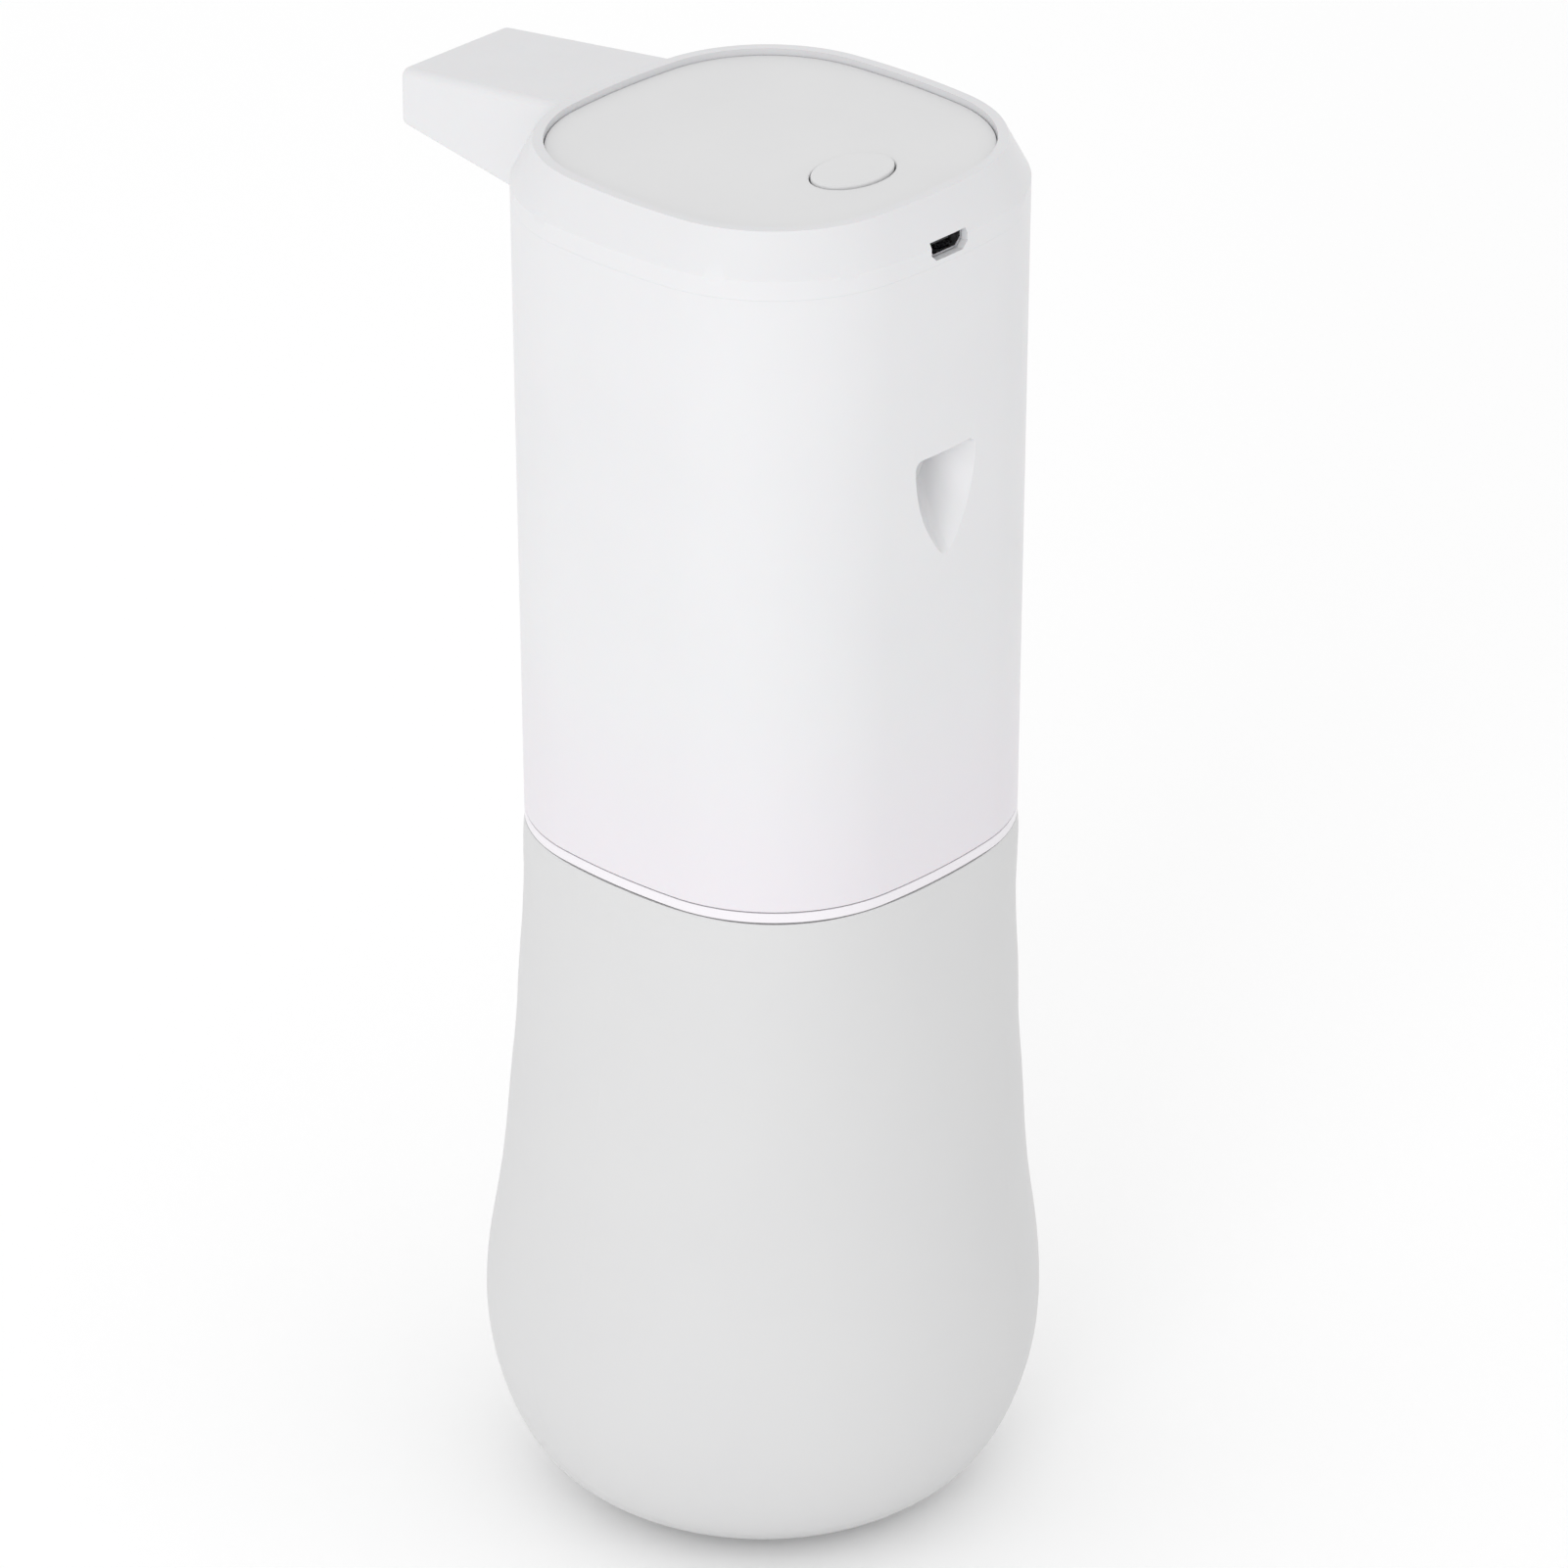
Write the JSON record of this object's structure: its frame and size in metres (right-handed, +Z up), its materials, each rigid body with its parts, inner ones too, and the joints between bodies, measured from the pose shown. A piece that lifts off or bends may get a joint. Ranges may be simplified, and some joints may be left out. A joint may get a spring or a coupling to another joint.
{
  "type": "soap dispenser",
  "caption": "Touch-free foaming soap dispenser: pump head with a forward spout on a screw-on bottle, with a rear recess for a wall hook.",
  "frame": {"origin": "on the bottle's flat base, under the neck's axis", "axes": "+Z up along the bottle and head; the spout points to -Y and the rear wall, with the hook recess and the charging port, faces +Y"},
  "size_m": [0.0866, 0.1068, 0.2269],
  "materials": {
    "gloss_shell": "satin-gloss white moulded plastic",
    "top_plate": "smooth light grey-white moulded plastic",
    "bottle_wall": "soft-matt translucent white blow-moulded plastic",
    "dark_lens": "smoked infrared-clear plastic",
    "grey_plastic": "fine matt moulded plastic",
    "black_plastic": "black moulded plastic",
    "seal_rubber": "translucent silicone rubber",
    "hose_rubber": "clear silicone tube",
    "circuit_board": "green solder mask over glass-epoxy laminate",
    "steel": "zinc-plated steel",
    "magnet": "dark ferrite",
    "copper": "enamelled copper",
    "brass": "brass",
    "cell_wrap": "shrink-wrapped cell sleeve",
    "lead_sleeve": "insulated lead"
  },
  "bodies": {
    "head": {"main_shell": "gloss_shell", "top_cap": "gloss_shell", "base_ring": "gloss_shell", "top_panel": "top_plate", "spout_cover": "gloss_shell", "sensor_window": "dark_lens", "foam_nozzle": "grey_plastic", "foam_meshes": "steel", "bottle_collar": "gloss_shell", "base_plate": "gloss_shell", "base_screws": "steel", "tube_grommet": "seal_rubber", "dip_tube": "hose_rubber", "inlet_filter": "grey_plastic", "inner_frame": "grey_plastic", "frame_screws": "steel", "pump_head": "grey_plastic", "valve_plate": "grey_plastic", "valve_flaps": "seal_rubber", "diaphragm": "seal_rubber", "pump_housing": "grey_plastic", "pump_screws": "steel", "motor_can": "steel", "motor_end_cap": "black_plastic", "motor_bushes": "brass", "motor_magnets": "magnet", "motor_brushes": "magnet", "motor_terminals": "brass", "control_board": "circuit_board", "board_screws": "steel", "charging_port": "steel", "port_tongue": "black_plastic", "button_switch": "black_plastic", "control_chip": "black_plastic", "charger_chip": "black_plastic", "board_capacitors": "black_plastic", "cable_headers": "grey_plastic", "sensor_board": "circuit_board", "ir_emitter": "black_plastic", "ir_receiver": "black_plastic", "battery_cell": "cell_wrap", "battery_holder": "black_plastic", "battery_contacts": "steel", "foam_hose": "hose_rubber", "motor_leads": "lead_sleeve", "battery_leads": "lead_sleeve", "sensor_leads": "lead_sleeve"},
    "gasket_ring": {"bottle_gasket": "seal_rubber"},
    "bottle": {"bottle": "bottle_wall"},
    "button": {"power_button": "top_plate", "switch_plunger": "black_plastic"},
    "rotor": {"motor_shaft": "steel", "armature_core": "steel", "armature_windings": "copper", "commutator": "copper", "eccentric_hub": "grey_plastic"},
    "wobbler": {"swing_frame": "grey_plastic", "drive_pin": "steel"}
  },
  "joints": [
    {"name": "bottle_drop", "type": "slide", "parent": "head", "child": "gasket_ring", "axis": [0, 0, -1], "range_m": [0, 0.005]},
    {"name": "bottle_turn", "type": "hinge", "parent": "gasket_ring", "child": "bottle", "pos_m": [0, 0, 0.116], "axis": [0, 0, -1], "range_deg": [0, 120]},
    {"name": "button_press", "type": "slide", "parent": "head", "child": "button", "axis": [0, 0, -1], "range_m": [0, 0.0005], "stiffness_N_per_m": 2000, "springref_m": -0.0002},
    {"name": "motor_spin", "type": "hinge", "parent": "head", "child": "rotor", "pos_m": [-0.0135, -0.002, 0.17], "axis": [0, 0, 1], "continuous": true},
    {"name": "swing_nutation", "type": "hinge", "parent": "rotor", "child": "wobbler", "pos_m": [-0.0135, -0.002, 0.1505], "axis": [0.1045, 0, 0.9945], "continuous": true}
  ],
  "couplings": [
    {"joint": "bottle_turn", "follows": "bottle_drop", "rad_per_m": 418.88},
    {"joint": "swing_nutation", "follows": "motor_spin", "ratio": -1}
  ]
}
